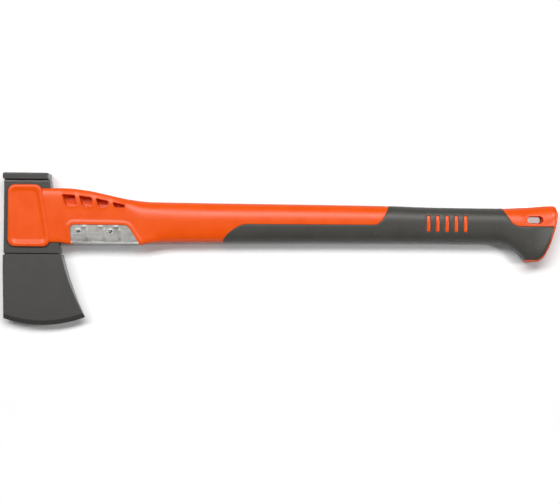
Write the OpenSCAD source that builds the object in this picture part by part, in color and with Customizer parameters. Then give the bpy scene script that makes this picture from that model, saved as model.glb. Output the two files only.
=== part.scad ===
// All-round axe with a moulded handle, lying on its cheek: X runs from the head to the butt,
// Y from the cutting edge to the poll, Z across the thickness. Millimetres.

/* [Overall] */
// Length from the bit's front face to the butt
overall_l = 600; // [560:1:900]
// Height of the head from the poll face to the lowest point of the edge
head_h = 165; // [156:0.5:190]
// Height of the poll face above the handle's axis
poll_rise = 52.4; // [48:0.1:60]
// Thickness across the two cheek panels
panel_t = 26; // [25:0.5:30]
// Gap left between parts that are moulded or pressed together
mould_gap = 0.1; // [0.05:0.05:0.2]

/* [Head] */
// Width of the hammer poll along the handle
poll_w = 49.2; // [46:0.1:56]
// Height of the poll rim
poll_h = 8.7; // [6:0.1:9.5]
// Thickness of the poll
poll_t = 23.5; // [22:0.5:25]
// Chamfer round the poll
poll_chamfer = 1.5; // [0.5:0.1:2.5]
// Thickness of the recessed waist
waist_t = 18; // [17:0.5:19.5]
// Width of the waist just above the bit's shoulder
waist_w = 62.5; // [57:0.1:63]
// How far the waist is set back from the bit's front face
waist_inset = 1; // [0.4:0.1:2]
// Distance from the poll face down to the bit's shoulder
shoulder_drop = 89.3; // [84:0.1:92]
// Width of the bit at its shoulder
shoulder_w = 63.8; // [58:0.1:68]
// Thickness of the bit at its shoulder
bit_t = 20.4; // [19.6:0.2:25]
// Width of the cutting edge
edge_w = 88.9; // [80:0.1:110]
// Radius of the cutting edge
edge_r = 130; // [110:1:200]
// Distance from the bit's front face to the edge's lowest point
edge_low = 41.7; // [36:0.1:50]
// Width of the ground bevel along the edge
bevel_w = 5; // [3:0.5:8]
// Thickness of the bit where the bevel starts
bevel_t = 6; // [4:0.5:8]
// Thickness left at the cutting edge
edge_t = 0.6; // [0.4:0.1:1]
// Radius of the hollow heel
heel_r = 300; // [180:5:400]

/* [Eye] */
// Height of the eye through the waist
eye_h = 46; // [36:1:48]
// Width of the eye across the thickness
eye_t = 11; // [9:0.5:12]
// Height of the eye's centre above the handle's axis
eye_rise = 7; // [5:0.5:9]
// How much wider the eye is at its front, all round
eye_step = 1.5; // [0.75:0.25:2]
// Depth of that wider front
eye_step_l = 7; // [4:0.5:10]

/* [Cheek panel] */
// Distance of the panel from the bit's front face
panel_inset = 5.9; // [5:0.1:9]
// Height of the panel's top above the handle's axis
panel_rise = 39.6; // [38:0.1:41]
// Height of the panel
panel_h = 67.1; // [64:0.1:70]
// Width of the panel at its top
panel_w = 35.7; // [32:0.1:38]
// Slant of the panel's rear side over its height
panel_slant = 11.4; // [8:0.1:14]
// Corner radius of the panel
panel_r = 8; // [5:0.5:10]
// Width of the panel's raised border
border_w = 7.4; // [6:0.2:9]
// Depth of the panel's recessed field
field_depth = 1.4; // [0.6:0.1:1.8]

/* [Neck and shaft] */
// Height of the neck's top above the handle's axis
neck_rise = 36.1; // [34:0.1:38]
// Depth of the neck's belly below the handle's axis
neck_drop = 22.6; // [21:0.1:24]
// Thickness of the neck
neck_t = 23.4; // [22.4:0.2:23.6]
// Distance from the bit's front face to where the neck's back starts to fall
neck_l = 66.2; // [62:0.1:74]
// Length over which the back of the neck falls to the shaft
fall_l = 95.3; // [80:0.1:120]
// Height of the shaft behind the neck
shaft_h = 44.3; // [38:0.1:46]
// Height of the handle's back above its axis where the grip starts to wrap it
wrap_rise = 20.6; // [19:0.1:22]
// Length over which the back falls from there to the slimmest part
taper_l = 72; // [50:1:85]
// Height of the handle before the knob
grip_h = 37.5; // [33:0.1:40]
// Thickness of the shaft
shaft_t = 24; // [22:0.5:26]
// Width of the hollow in the shaft
hollow_w = 14; // [9:0.5:15]
// Height of the hollow in the shaft
hollow_h = 27; // [16:0.5:28]
// Distance from the bit's front face to the start of the hollow
hollow_start = 164; // [160:1:200]

/* [Pockets] */
// Number of pockets a side
pocket_n = 4; // [2:1:4]
// Distance from the bit's front face to the first pocket
pocket_start = 64.2; // [63:0.1:68]
// Pitch of the pockets
pocket_pitch = 18.25; // [17:0.05:19]
// Width of a pocket at its top
pocket_w = 13.8; // [10:0.2:14.4]
// Margin from the handle's back to the pockets
pocket_margin = 6.8; // [5.5:0.1:7.5]
// Height of the pockets' lower edge above the handle's axis
pocket_foot = 16.6; // [15.5:0.1:17.5]
// Depth of a pocket
pocket_depth = 10; // [2:0.5:10.5]

/* [Guard] */
// Distance from the bit's front face to the guard
guard_start = 73; // [72:0.1:78]
// Length of the guard along its upper edge
guard_l = 62.3; // [50:0.1:64]
// How much longer the guard is at the belly
guard_slant = 14; // [8:0.5:20]
// Depth of the guard's upper edge below the handle's axis
guard_top = 3.2; // [0:0.2:6]
// Depth of the guard's belly below the handle's axis
guard_drop = 24.2; // [23.4:0.1:26]
// Height of the lip round the guard above the neck's skin
lip_h = 1; // [0.3:0.1:1.4]
// Width of that lip
lip_w = 4.5; // [2:0.5:6]
// Thickness of the guard's sheet
guard_t = 1.2; // [0.8:0.1:2]
// Distance from the guard's front to the first rivet
rivet_start = 9.3; // [6:0.1:12]
// Pitch of the two rivets
rivet_pitch = 34.6; // [28:0.1:38]
// Depth of the rivets below the handle's axis
rivet_drop = 9.7; // [8:0.1:12]
// Diameter of a rivet's shank
rivet_d = 3.2; // [2:0.1:4]
// Diameter of a rivet's head
rivet_head_d = 4.8; // [4.4:0.1:6]
// Height of a rivet's head
rivet_head_h = 0.9; // [0.5:0.1:1.4]

/* [Grip] */
// Length of the grip from its front point to the butt
grip_l = 362.3; // [300:0.1:400]
// Length of the part of the grip that wraps the handle all round
wrap_l = 181.9; // [170:0.1:220]
// Length of the rounded front of the grip
grip_front_l = 26; // [10:1:40]
// Length of the rise to the full wrap
grip_rise_l = 16.5; // [8:0.5:30]
// Depth of the grip's side line below the handle's axis, at its front
grip_line = 0.9; // [-4:0.1:4]
// Depth of that line where the grip starts to wrap the handle
grip_line_rear = 0.3; // [-4:0.1:4]
// Wall of the grip
grip_wall = 2.2; // [1.5:0.1:3]
// Number of bars a side
bar_n = 5; // [1:1:6]
// Distance from the butt to the first bar
bar_start = 139.7; // [130:0.1:150]
// Pitch of the bars
bar_pitch = 10; // [7:0.1:12]
// Width of a bar
bar_w = 3.8; // [2.5:0.1:5]
// Length of a bar
bar_l = 18; // [12:0.5:20]
// Height of the bars' middle above the handle's axis
bar_rise = 1.7; // [0:0.1:3]

/* [Knob] */
// Thickness of the knob
knob_t = 26; // [24:0.5:30]
// How much each side of the knob falls away at the butt
knob_taper = 3; // [0:0.1:4]
// Depth of the knob's tip below the handle's axis
knob_drop = 38.9; // [32:0.1:46]
// Height of the knob's heel above the handle's axis
knob_rise = 22.2; // [20:0.1:26]
// Length of the knob from its tip to the butt
knob_l = 34.2; // [32:0.1:46]
// Length of the flare from the grip to the knob's tip
flare_l = 36; // [24:1:44]
// Width of the cap's strip round the butt
strip_w = 2.4; // [1.4:0.1:4]
// Length of the cap's side field from the butt
field_l = 59.4; // [54:0.1:62]
// Slant of the field's front
field_slant = 11.8; // [6:0.1:16]
// Depth of the field's lower line below the handle's axis
field_line = 0.3; // [-1:0.1:3]
// Length of the hanging slot
slot_l = 17.4; // [14:0.2:24]
// Width of the hanging slot
slot_w = 7.9; // [6:0.1:10]
// Distance from the butt to the slot's middle
slot_from_butt = 24.3; // [22:0.1:30]
// Height of the slot above the handle's axis
slot_rise = 6.8; // [5.5:0.1:9]
// Distance from the butt to the joint between core and cap
cap_l = 62.5; // [62:0.5:70]
// Length of the cap's spigot in the hollow
spigot_l = 24; // [12:1:40]

/* [Hidden] */
$fn = 48;
orange = "#f0602a";
ring_n = 24;
corner_fn = 12;
// Reach of the cutting shapes, and how far they stand past what they cut
far = 80;
cut = 1;
// How far the neck runs in under the panel
panel_lap = 1.5;
// How far the waist's rear side stands out past the poll
side_out = 1.2;
// Bends of the grip's rounded front and of the foot of the cap's side field
nose_power = 1.28;
field_bend = 7;
// How far the guard's front leans back to the belly, and its lip stops short of the belly
guard_lean = 2.6;
lip_stop = 3;
// Corner radii of the guard, the bars and the pockets' mouths and floors
guard_r = 4;
bar_r = 1;
mouth_r = 1;
floor_r = 0.6;
// Lean of the pockets' front sides, and how the rear sides turn from pocket to pocket
pocket_lean = 0.29;
rear_lean = 2.6;
rear_turn = 1.4;
foot_fall = 0.4;

// Ends of the axe, and heights measured from the handle's axis
front = -overall_l / 2;
butt = overall_l / 2;
edge_y = poll_rise - head_h;
shoulder_y = poll_rise - shoulder_drop;
rim_y = poll_rise - poll_h;
axis_y = head_h / 2 - poll_rise;
edge_c = [front + edge_low, edge_y + edge_r];
neck_start = front + panel_inset + panel_w - panel_lap;
fall_start = front + neck_l;
fall_end = fall_start + fall_l;
guard_x = front + guard_start;
guard_end = guard_x + guard_l + guard_slant;
blend_l = 11;
flat_stop = 42;
fold_stop = 6;
round_start = 12;
// Power of the section's curve: 2 is an ellipse, and more is squarer
neck_square = 7;
belly_square = 10;
shaft_square = 2.7;
crown_square = 2.4;
heel_square = 2.1;
knob_square = 4.7;
knob_tip = butt - knob_l;
flare_start = knob_tip - flare_l;
split_x = butt - cap_l;
wrap_x = butt - wrap_l - grip_rise_l;

// Back and belly of the handle, its half thickness, and how square its upper and lower halves are, along X
back_pts = [
    [neck_start, neck_rise],
    [fall_start, neck_rise],
    [fall_start + 0.25 * fall_l, neck_rise - 0.16 * (neck_rise - shaft_h / 2)],
    [fall_start + 0.5 * fall_l, neck_rise - 0.5 * (neck_rise - shaft_h / 2)],
    [fall_start + 0.75 * fall_l, neck_rise - 0.84 * (neck_rise - shaft_h / 2)],
    [fall_end, shaft_h / 2],
    [wrap_x, wrap_rise],
    [wrap_x + taper_l, grip_h / 2 + 0.2],
    [flare_start + 4, grip_h / 2],
    [knob_tip, grip_h / 2 + 0.45 * (knob_rise - grip_h / 2)],
    [butt - 4.5, knob_rise],
    [butt - 2.2, knob_rise - 0.4],
    [butt - 1.1, knob_rise - 1.6],
    [butt, knob_rise - 5.5]];
belly_pts = [
    [neck_start, -neck_drop],
    [guard_x - blend_l, -neck_drop - 0.3],
    [guard_x - 1, -guard_drop - 0.2],
    [guard_end, -guard_drop],
    [guard_end + blend_l, -shaft_h / 2 - 0.2],
    [flare_start, -grip_h / 2],
    [flare_start + 0.25 * flare_l, -grip_h / 2 - 0.02 * (knob_drop - grip_h / 2)],
    [flare_start + 0.5 * flare_l, -grip_h / 2 - 0.17 * (knob_drop - grip_h / 2)],
    [flare_start + 0.75 * flare_l, -grip_h / 2 - 0.45 * (knob_drop - grip_h / 2)],
    [flare_start + 0.9 * flare_l, -grip_h / 2 - 0.71 * (knob_drop - grip_h / 2)],
    [knob_tip, -knob_drop],
    [knob_tip + 0.28 * knob_l, -knob_drop],
    [knob_tip + 0.39 * knob_l, -0.988 * knob_drop],
    [knob_tip + 0.487 * knob_l, -0.945 * knob_drop],
    [knob_tip + 0.618 * knob_l, -0.83 * knob_drop],
    [knob_tip + 0.75 * knob_l, -0.605 * knob_drop],
    [knob_tip + 0.846 * knob_l, -0.385 * knob_drop],
    [knob_tip + 0.918 * knob_l, -0.16 * knob_drop],
    [knob_tip + 0.978 * knob_l, 0.06 * knob_drop],
    [butt, knob_rise - 13.5]];
half_pts = [
    [neck_start, neck_t / 2],
    [fall_start + 0.6 * fall_l, neck_t / 2],
    [fall_end + 40, shaft_t / 2],
    [flare_start, shaft_t / 2],
    [knob_tip, knob_t / 2],
    [butt - 0.8 * knob_l, knob_t / 2 - 0.02 * knob_taper],
    [butt, knob_t / 2 - knob_taper]];
top_pts = [
    [neck_start, neck_square],
    [guard_end - flat_stop, neck_square],
    [fall_end - round_start, shaft_square],
    [fall_end + 0.16 * (flare_start - fall_end), crown_square],
    [flare_start, crown_square],
    [butt, heel_square]];
foot_pts = [
    [neck_start, belly_square],
    [guard_end - fold_stop, belly_square],
    [fall_end + blend_l, shaft_square],
    [flare_start, shaft_square],
    [knob_tip + 6, knob_square],
    [butt, knob_square]];

// Rows of the handle's skin: close where its outline turns, wide along the straight shaft
function steps(a, b, n) = [for (i = [0 : n - 1]) a + (b - a) * i / n];
rows = concat(
    steps(neck_start, guard_x - blend_l, 3),
    steps(guard_x - blend_l, guard_x, 3),
    steps(guard_x, guard_end, 8),
    steps(guard_end, guard_end + blend_l, 3),
    steps(guard_end + blend_l, flare_start, 14),
    steps(flare_start, knob_tip, 12),
    [for (a = [0 : 10 : 90]) knob_tip + knob_l * sin(a)]);

// Smooth curve through points of rising X, with no overshoot between them
function rate(p, i) = (p[i + 1][1] - p[i][1]) / (p[i + 1][0] - p[i][0]);
function tangent(p, i) =
    i == 0 ? rate(p, 0) :
    i == len(p) - 1 ? rate(p, i - 1) :
    rate(p, i - 1) * rate(p, i) <= 0 ? 0 :
    2 * rate(p, i - 1) * rate(p, i) / (rate(p, i - 1) + rate(p, i));
function span(p, x, i = 0) = i >= len(p) - 2 || x <= p[i + 1][0] ? i : span(p, x, i + 1);
function curve(p, x) =
    let (i = span(p, x))
    let (w = p[i + 1][0] - p[i][0])
    let (t = (x - p[i][0]) / w)
    p[i][1] * (1 + 2 * t) * (1 - t) * (1 - t) + tangent(p, i) * w * t * (1 - t) * (1 - t)
    + p[i + 1][1] * t * t * (3 - 2 * t) - tangent(p, i + 1) * w * t * t * (1 - t);

// One ring of the skin: a rounded, squarish section across the handle
function part(c, e) = sign(c) * pow(abs(c), e);
function ring(x, inset) =
    let (a = curve(back_pts, x) - inset)
    let (b = curve(belly_pts, x) + inset)
    let (h = curve(half_pts, x) - inset)
    [for (j = [0 : ring_n - 1])
        let (q = 360 * (j + 0.5) / ring_n)
        let (e = 2 / curve(cos(q) > 0 ? top_pts : foot_pts, x))
        [x, (a + b) / 2 + (a - b) / 2 * part(cos(q), e), h * part(sin(q), e)]];

// Solid of the handle between two places along X, set in from its skin
module handle_solid(from, to, inset = 0) {
    xs = concat([from], [for (x = rows) if (x > from + 0.2 && x < to - 0.2) x], [to]);
    n = len(xs);
    sides = [for (i = [0 : n - 2], j = [0 : ring_n - 1])
        let (k = (j + 1) % ring_n)
        each [
            [i * ring_n + j, (i + 1) * ring_n + k, i * ring_n + k],
            [i * ring_n + j, (i + 1) * ring_n + j, (i + 1) * ring_n + k]]];
    caps = [
        [for (j = [0 : ring_n - 1]) j],
        [for (j = [ring_n - 1 : -1 : 0]) (n - 1) * ring_n + j]];
    polyhedron([for (x = xs) each ring(x, inset)], concat(sides, caps));
}

// Places a shape that is drawn about the handle's axis and mid-plane
module placed() {
    translate([0, axis_y, panel_t / 2]) children();
}

module through(h = far) {
    linear_extrude(height = h, center = true) children();
}

module slab(from, h) {
    translate([0, 0, from]) linear_extrude(height = h) children();
}

module both_cheeks() {
    children();
    mirror([0, 0, 1]) children();
}

// Rounds the outer corners of a flat outline
module rounded(r) {
    offset(r = r, $fn = corner_fn) offset(delta = -r) children();
}

// Rounded bar along X with its section centred on [y, 0]
module flat_bar(from, to, h, t, y) {
    translate([from, y, 0]) rotate([90, 0, 90]) linear_extrude(height = to - from) {
        square([h - t, t], center = true);
        for (s = [-1, 1]) translate([s * (h - t) / 2, 0]) circle(d = t);
    }
}

module waist_plan(grow = 0) {
    polygon([
        [front + waist_inset - grow, rim_y],
        [front + poll_w + side_out + grow, rim_y],
        [front + waist_w + grow, shoulder_y],
        [front + waist_inset - grow, shoulder_y]]);
}

// Bit seen from the cheek, bounded by the shoulder, the front face and the hollow heel
module bit_plan() {
    top = [front + shoulder_w, shoulder_y];
    tip = [front + edge_w, edge_c.y - sqrt(pow(edge_r, 2) - pow(edge_w - edge_low, 2))];
    way = tip - top;
    rise = sqrt(pow(heel_r, 2) - pow(norm(way) / 2, 2));
    heel_c = (top + tip) / 2 + [-way.y, way.x] / norm(way) * rise;
    difference() {
        polygon([[front, shoulder_y], top, tip, [tip.x, edge_y - cut], [front, edge_y - cut]]);
        translate(heel_c) circle(r = heel_r);
    }
}

// Half thickness of the bit at a distance from the middle of its edge's arc
bevel_r = edge_r - bevel_w;
cheek_r = edge_c.y - shoulder_y;
cheek_power = 2.3;
function cheek_half(r) =
    let (t = (r - cheek_r) / (bevel_r - cheek_r))
    bit_t / 2 - (bit_t - bevel_t) / 2 * pow(t, cheek_power);

module bit_wedge() {
    side = concat(
        [for (i = [0 : 7]) let (r = cheek_r + (bevel_r - cheek_r) * i / 7) [r, cheek_half(r)]],
        [[edge_r, edge_t / 2]]);
    back = [[0, bit_t / 2]];
    half = concat(back, side);
    flip = [for (i = [len(half) - 1 : -1 : 0]) [half[i].x, -half[i].y]];
    translate(edge_c) rotate_extrude() polygon(concat(half, flip));
}

module poll_block() {
    c = poll_chamfer;
    plan = [[c, -poll_h], [poll_w - c, -poll_h], [poll_w, c - poll_h], [poll_w, -c], [poll_w - c, 0],
        [c, 0], [0, -c], [0, c - poll_h]];
    side = [[-poll_h, poll_t / 2 - c / 2], [c / 2 - poll_h, poll_t / 2], [-c, poll_t / 2],
        [0, poll_t / 2 - c]];
    flip = [for (i = [len(side) - 1 : -1 : 0]) [side[i].x, -side[i].y]];
    translate([front, poll_rise, 0]) intersection() {
        through() polygon(plan);
        rotate([90, 0, 90]) linear_extrude(height = poll_w) polygon(concat(side, flip));
    }
}

module eye(gap = 0) {
    flat_bar(front - cut, front + shoulder_w + cut, eye_h - 2 * gap, eye_t - 2 * gap, eye_rise);
    flat_bar(front - cut, front + waist_inset + eye_step_l - gap,
        eye_h + 2 * eye_step - 2 * gap, eye_t + 2 * eye_step - 2 * gap, eye_rise);
}

module axe_head() {
    color("#52514f") placed() difference() {
        union() {
            poll_block();
            through(waist_t) waist_plan();
            intersection() {
                bit_wedge();
                through() bit_plan();
            }
        }
        eye();
    }
}

// Panel's outline, set in from its edge
module panel_plan(inset = 0) {
    r = panel_r;
    x0 = front + panel_inset;
    low = panel_rise - panel_h;
    offset(r = r - inset * 0.6, $fn = 2 * corner_fn) offset(delta = -r - inset * 0.4) polygon([
        [x0, panel_rise],
        [x0 + panel_w, panel_rise],
        [x0 + panel_w + panel_slant, low],
        [x0, low]]);
}

module cheek_panel() {
    base = waist_t / 2 + mould_gap;
    top = panel_t / 2;
    difference() {
        slab(base, top - base) panel_plan();
        hull() {
            slab(top - field_depth, cut) panel_plan(border_w);
            slab(top, cut) panel_plan(border_w - 2 * field_depth);
        }
    }
}

// One of the neck's pockets: its top follows the handle's back and its front side leans
module pocket(i) {
    x0 = front + pocket_start + pocket_pitch * i;
    x1 = x0 + pocket_w;
    foot = pocket_foot - foot_fall * i;
    y0 = curve(back_pts, x0) - pocket_margin;
    y1 = curve(back_pts, x1) - pocket_margin;
    lean = pocket_lean * (y0 - foot);
    floor_z = neck_t / 2 - pocket_depth;
    pts = [[x0, y0], [x1, y1], [x1 + rear_lean - rear_turn * i, foot], [x0 + lean, foot]];
    hull() {
        slab(floor_z, cut) rounded(floor_r) offset(delta = -floor_r) polygon(pts);
        slab(neck_t / 2, cut) rounded(mouth_r) polygon(pts);
    }
}

// Guard seen from the cheek
module guard_plan(grow = 0) {
    offset(delta = grow) rounded(guard_r) polygon([
        [guard_x, -guard_top],
        [guard_x + guard_l, -guard_top],
        [guard_end, -guard_drop - 1],
        [guard_end, -guard_drop - far / 4],
        [guard_x + guard_lean, -guard_drop - far / 4]]);
}

module at_rivets(which = [0, 1]) {
    for (i = which) translate([guard_x + rivet_start + rivet_pitch * i, -rivet_drop, 0]) children();
}

function bend(a, b, c, t) = a * (1 - t) * (1 - t) + 2 * b * t * (1 - t) + c * t * t;

// Bars that show through the grip
module bars() {
    for (i = [0 : bar_n - 1])
        translate([butt - bar_start + bar_pitch * i, bar_rise])
            rounded(bar_r) square([bar_w, bar_l], center = true);
}

// Side of the handle that the grip covers, without the bars
module grip_plan(shrink = 0) {
    x0 = butt - grip_l + grip_front_l;
    low = -shaft_h / 2;
    turn = [wrap_x, -grip_line_rear];
    field_top = [butt - field_l, grip_h / 2];
    field_foot = [butt - field_l + field_slant, -field_line];
    way = (field_top - field_foot) / norm(field_top - field_foot);
    zone = concat(
        [[x0 - grip_front_l, -far]],
        [for (a = [0 : 10 : 90])
            let (c = pow(cos(a), nose_power))
            [x0 - grip_front_l * c, low - (grip_line + low) * pow(sin(a), nose_power)]],
        [for (t = [0 : 0.2 : 1])
            bend(turn, turn + [0.6 * grip_rise_l, 0.4], [wrap_x + grip_rise_l, shaft_h / 2], t)],
        [[wrap_x + grip_rise_l + 2, far], field_top + way * far],
        [for (t = [0 : 0.25 : 1])
            bend(field_foot + way * field_bend, field_foot, field_foot + [field_bend, 0], t)],
        [[butt + far, -field_line], [butt + far, -far]]);
    offset(delta = -shrink) difference() {
        intersection() {
            polygon(zone);
            union() {
                translate([front, -far]) square([knob_tip - 2 - front, 2 * far]);
                offset(delta = -strip_w) knob_plan();
            }
        }
        bars();
    }
}

module knob_plan() {
    xs = [for (x = rows) if (x > flare_start) x];
    polygon(concat(
        [for (x = xs) [x, curve(back_pts, x)]],
        [for (i = [len(xs) - 1 : -1 : 0]) [xs[i], curve(belly_pts, xs[i])]]));
}

// Orange body of the handle between two places, sunk where the grip covers it
module handle_body(from, to) {
    sunk_from = max(from, butt - grip_l - 6);
    difference() {
        handle_solid(from, to);
        through() grip_plan();
    }
    handle_solid(sunk_from, min(to, butt - grip_wall), grip_wall);
}

module hollow(from, to, gap = 0) {
    flat_bar(from, to, hollow_h - 2 * gap, hollow_w - 2 * gap, 0);
}

module handle_core() {
    color(orange) placed() {
        difference() {
            union() {
                handle_body(neck_start, split_x);
                guard_lip();
                both_cheeks() cheek_panel();
            }
            through(waist_t + 2 * mould_gap) waist_plan(mould_gap);
            both_cheeks() for (i = [0 : pocket_n - 1]) pocket(i);
            guard_seat();
            at_rivets() cylinder(d = rivet_d + 2 * mould_gap, h = far, center = true);
            hollow(front + hollow_start, split_x + cut);
        }
        intersection() {
            eye(mould_gap);
            translate([front + waist_inset, -far, -far]) cube([2 * shoulder_w, 2 * far, 2 * far]);
        }
    }
}

// Raised lip of the core round the guard
module guard_lip() {
    intersection() {
        handle_solid(guard_x - cut / 2, guard_end + blend_l - cut, -lip_h);
        through() difference() {
            guard_plan(lip_w);
            translate([front, lip_stop - guard_drop - far]) square([overall_l, far]);
        }
    }
}

// Space that the guard takes in the neck
module guard_seat() {
    difference() {
        through() guard_plan(mould_gap);
        handle_solid(guard_x - blend_l, guard_end + blend_l, guard_t + mould_gap);
    }
}

module overstrike_guard() {
    color("#b8b7b3") placed() difference() {
        intersection() {
            handle_solid(guard_x - blend_l, guard_end + blend_l);
            through() guard_plan();
        }
        handle_solid(guard_x - blend_l - cut, guard_end + blend_l + cut, guard_t);
        at_rivets() cylinder(d = rivet_d + 2 * mould_gap, h = far, center = true);
    }
}

// Rivet through guard and neck, with a dome on each cheek
module guard_rivet(which) {
    seat = neck_t / 2;
    dome_r = (pow(rivet_head_d / 2, 2) + pow(rivet_head_h, 2)) / (2 * rivet_head_h);
    color("#c9c8c4") placed() at_rivets([which]) {
        cylinder(d = rivet_d, h = 2 * seat, center = true);
        both_cheeks() intersection() {
            translate([0, 0, seat]) cylinder(d = rivet_head_d, h = rivet_head_h);
            translate([0, 0, seat + rivet_head_h - dome_r]) sphere(r = dome_r);
        }
    }
}

module guard_rivet_front() {
    guard_rivet(0);
}

module guard_rivet_rear() {
    guard_rivet(1);
}

module grip_sleeve() {
    color("#4c4b46") placed() intersection() {
        difference() {
            handle_solid(butt - grip_l - 6, butt);
            handle_solid(butt - grip_l - 8, butt - grip_wall + mould_gap, grip_wall - mould_gap);
        }
        through() grip_plan(mould_gap);
    }
}

module butt_cap() {
    color(orange) placed() difference() {
        union() {
            handle_body(split_x + mould_gap, butt);
            hollow(split_x - spigot_l, split_x + 2, mould_gap);
        }
        translate([butt - slot_from_butt, slot_rise, 0]) through() {
            square([slot_l - slot_w, slot_w], center = true);
            for (s = [-1, 1]) translate([s * (slot_l - slot_w) / 2, 0]) circle(d = slot_w);
        }
    }
}

axe_head();
handle_core();
grip_sleeve();
butt_cap();
overstrike_guard();
guard_rivet_front();
guard_rivet_rear();
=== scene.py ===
import math

import bmesh
import bpy
import numpy as np
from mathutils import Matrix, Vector, geometry


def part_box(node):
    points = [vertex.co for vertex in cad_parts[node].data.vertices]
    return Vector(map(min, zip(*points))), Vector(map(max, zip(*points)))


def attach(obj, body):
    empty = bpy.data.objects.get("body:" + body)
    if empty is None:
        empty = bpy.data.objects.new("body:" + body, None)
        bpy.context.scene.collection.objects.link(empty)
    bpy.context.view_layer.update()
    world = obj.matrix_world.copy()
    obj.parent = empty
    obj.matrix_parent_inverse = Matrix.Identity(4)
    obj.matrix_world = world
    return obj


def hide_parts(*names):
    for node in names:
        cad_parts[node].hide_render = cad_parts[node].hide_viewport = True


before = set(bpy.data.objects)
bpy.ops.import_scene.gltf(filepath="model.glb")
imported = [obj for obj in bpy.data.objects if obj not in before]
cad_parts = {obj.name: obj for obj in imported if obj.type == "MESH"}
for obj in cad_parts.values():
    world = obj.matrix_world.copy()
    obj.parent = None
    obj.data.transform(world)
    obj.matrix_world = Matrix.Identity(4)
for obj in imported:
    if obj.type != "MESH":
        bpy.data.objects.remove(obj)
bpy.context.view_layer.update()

scene = bpy.context.scene
scene.view_settings.view_transform = "Standard"
mm = 0.001

# the frame gives the ends of the axe and the plane of the handle; lengths below are in mm
headLow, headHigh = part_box("axe_head")
coreLow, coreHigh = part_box("handle_core")
front = headLow[0] / mm
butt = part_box("butt_cap")[1][0] / mm
midZ = (coreLow[2] + coreHigh[2]) / 2 / mm
pollRise = 52.4
axisY = headHigh[1] / mm - pollRise  # height of the handle's axis in the frame

handle = {
    "neckStart": front + 40.1, "neckRise": 36.1, "neckDrop": 22.6, "neckThick": 23.4,
    "fallStart": front + 66.2, "fallEnd": front + 161.5,
    "shaftHeight": 44.3, "shaftThick": 24, "gripHeight": 37.5,
    "wrapX": butt - 198.4, "wrapRise": 20.6, "taperLength": 72,
    "guardStart": front + 73, "guardEnd": front + 149.3, "guardDrop": 24.2, "guardBlend": 11,
    "flareStart": butt - 70.2, "knobTip": butt - 34.2, "knobDrop": 38.9, "knobRise": 22.2,
    "knobThick": 26, "knobTaper": 3, "buttDrop": 13.5, "splitX": butt - 62.5,
    # shares along and across each curve; the heel's are mm from the butt and from the knob's top
    "fallCurve": ((0, 0), (0.25, 0.16), (0.5, 0.5), (0.75, 0.84), (1, 1)),
    "heelCurve": ((4.5, 0), (2.2, 0.4), (1.1, 1.6), (0, 5.5)),
    "flareCurve": ((0.25, 0.02), (0.5, 0.17), (0.75, 0.45), (0.9, 0.71), (1, 1)),
    "knobCurve": ((0.28, 1), (0.39, 0.988), (0.487, 0.945), (0.618, 0.83), (0.75, 0.605),
                  (0.846, 0.385), (0.918, 0.16), (0.978, -0.06)),
    # squareness of the section's upper half, from neck to heel, 2 for an ellipse
    "neckSquare": 7, "shaftSquare": 2.7, "topSquare": 2.3, "heelSquare": 2.1, "topShare": 0.16,
    # squareness of its lower half
    "bellySquare": 16, "footExtra": 0.4, "knobSquare": 4.5, "buttSquare": 5,
    # the change from neck to shaft starts before the guard's end, and ends before or past the fall's
    "neckEase": (42, 12), "bellyEase": (6, 14),
}


def handleLines(h):
    neck, start, end, flare, tip = (
        h[key] for key in ("neckStart", "fallStart", "fallEnd", "flareStart", "knobTip"))
    fall, drop = end - start, h["neckRise"] - h["shaftHeight"] / 2
    knob, low, grip = butt - tip, h["knobDrop"], h["gripHeight"] / 2
    back = [(neck, h["neckRise"])]
    back += [(start + t * fall, h["neckRise"] - s * drop) for t, s in h["fallCurve"]]
    back += [(h["wrapX"], h["wrapRise"]), (h["wrapX"] + h["taperLength"], grip + 0.2),
             (flare + 4, grip), (tip, grip + 0.45 * (h["knobRise"] - grip))]
    back += [(butt - x, h["knobRise"] - y) for x, y in h["heelCurve"]]
    belly = [(neck, -h["neckDrop"]),
             (h["guardStart"] - h["guardBlend"], -h["neckDrop"] - 0.3),
             (h["guardStart"] - 1, -h["guardDrop"] - 0.2), (h["guardEnd"], -h["guardDrop"]),
             (h["guardEnd"] + h["guardBlend"], -h["shaftHeight"] / 2 - 0.2), (flare, -grip)]
    belly += [(flare + t * (tip - flare), -grip - s * (low - grip)) for t, s in h["flareCurve"]]
    belly += [(tip + t * knob, -s * low) for t, s in h["knobCurve"]]
    belly += [(butt, h["knobRise"] - h["buttDrop"])]
    neckHalf, shaftHalf, knobHalf = (h[key] / 2 for key in ("neckThick", "shaftThick", "knobThick"))
    half = [(neck, neckHalf), (start + 0.6 * fall, neckHalf), (end + 40, shaftHalf), (flare, shaftHalf),
            (tip, knobHalf), (butt - 0.8 * knob, knobHalf - 0.02 * h["knobTaper"]),
            (butt, knobHalf - h["knobTaper"])]
    before, after = h["neckEase"]
    top = [(neck, h["neckSquare"]), (h["guardEnd"] - before, h["neckSquare"]),
           (end - after, h["shaftSquare"]), (end + h["topShare"] * (flare - end), h["topSquare"]),
           (flare, h["topSquare"]), (butt, h["heelSquare"])]
    before, after = h["bellyEase"]
    foot = [(neck, h["bellySquare"]), (h["guardEnd"] - before, h["bellySquare"]),
            (end + after, h["shaftSquare"] + h["footExtra"]), (flare, h["shaftSquare"]),
            (tip + 6, h["knobSquare"]), (butt, h["buttSquare"])]
    return [np.array(line, float) for line in (back, belly, half, top, foot)]


backLine, bellyLine, halfLine, topLine, footLine = handleLines(handle)


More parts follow.
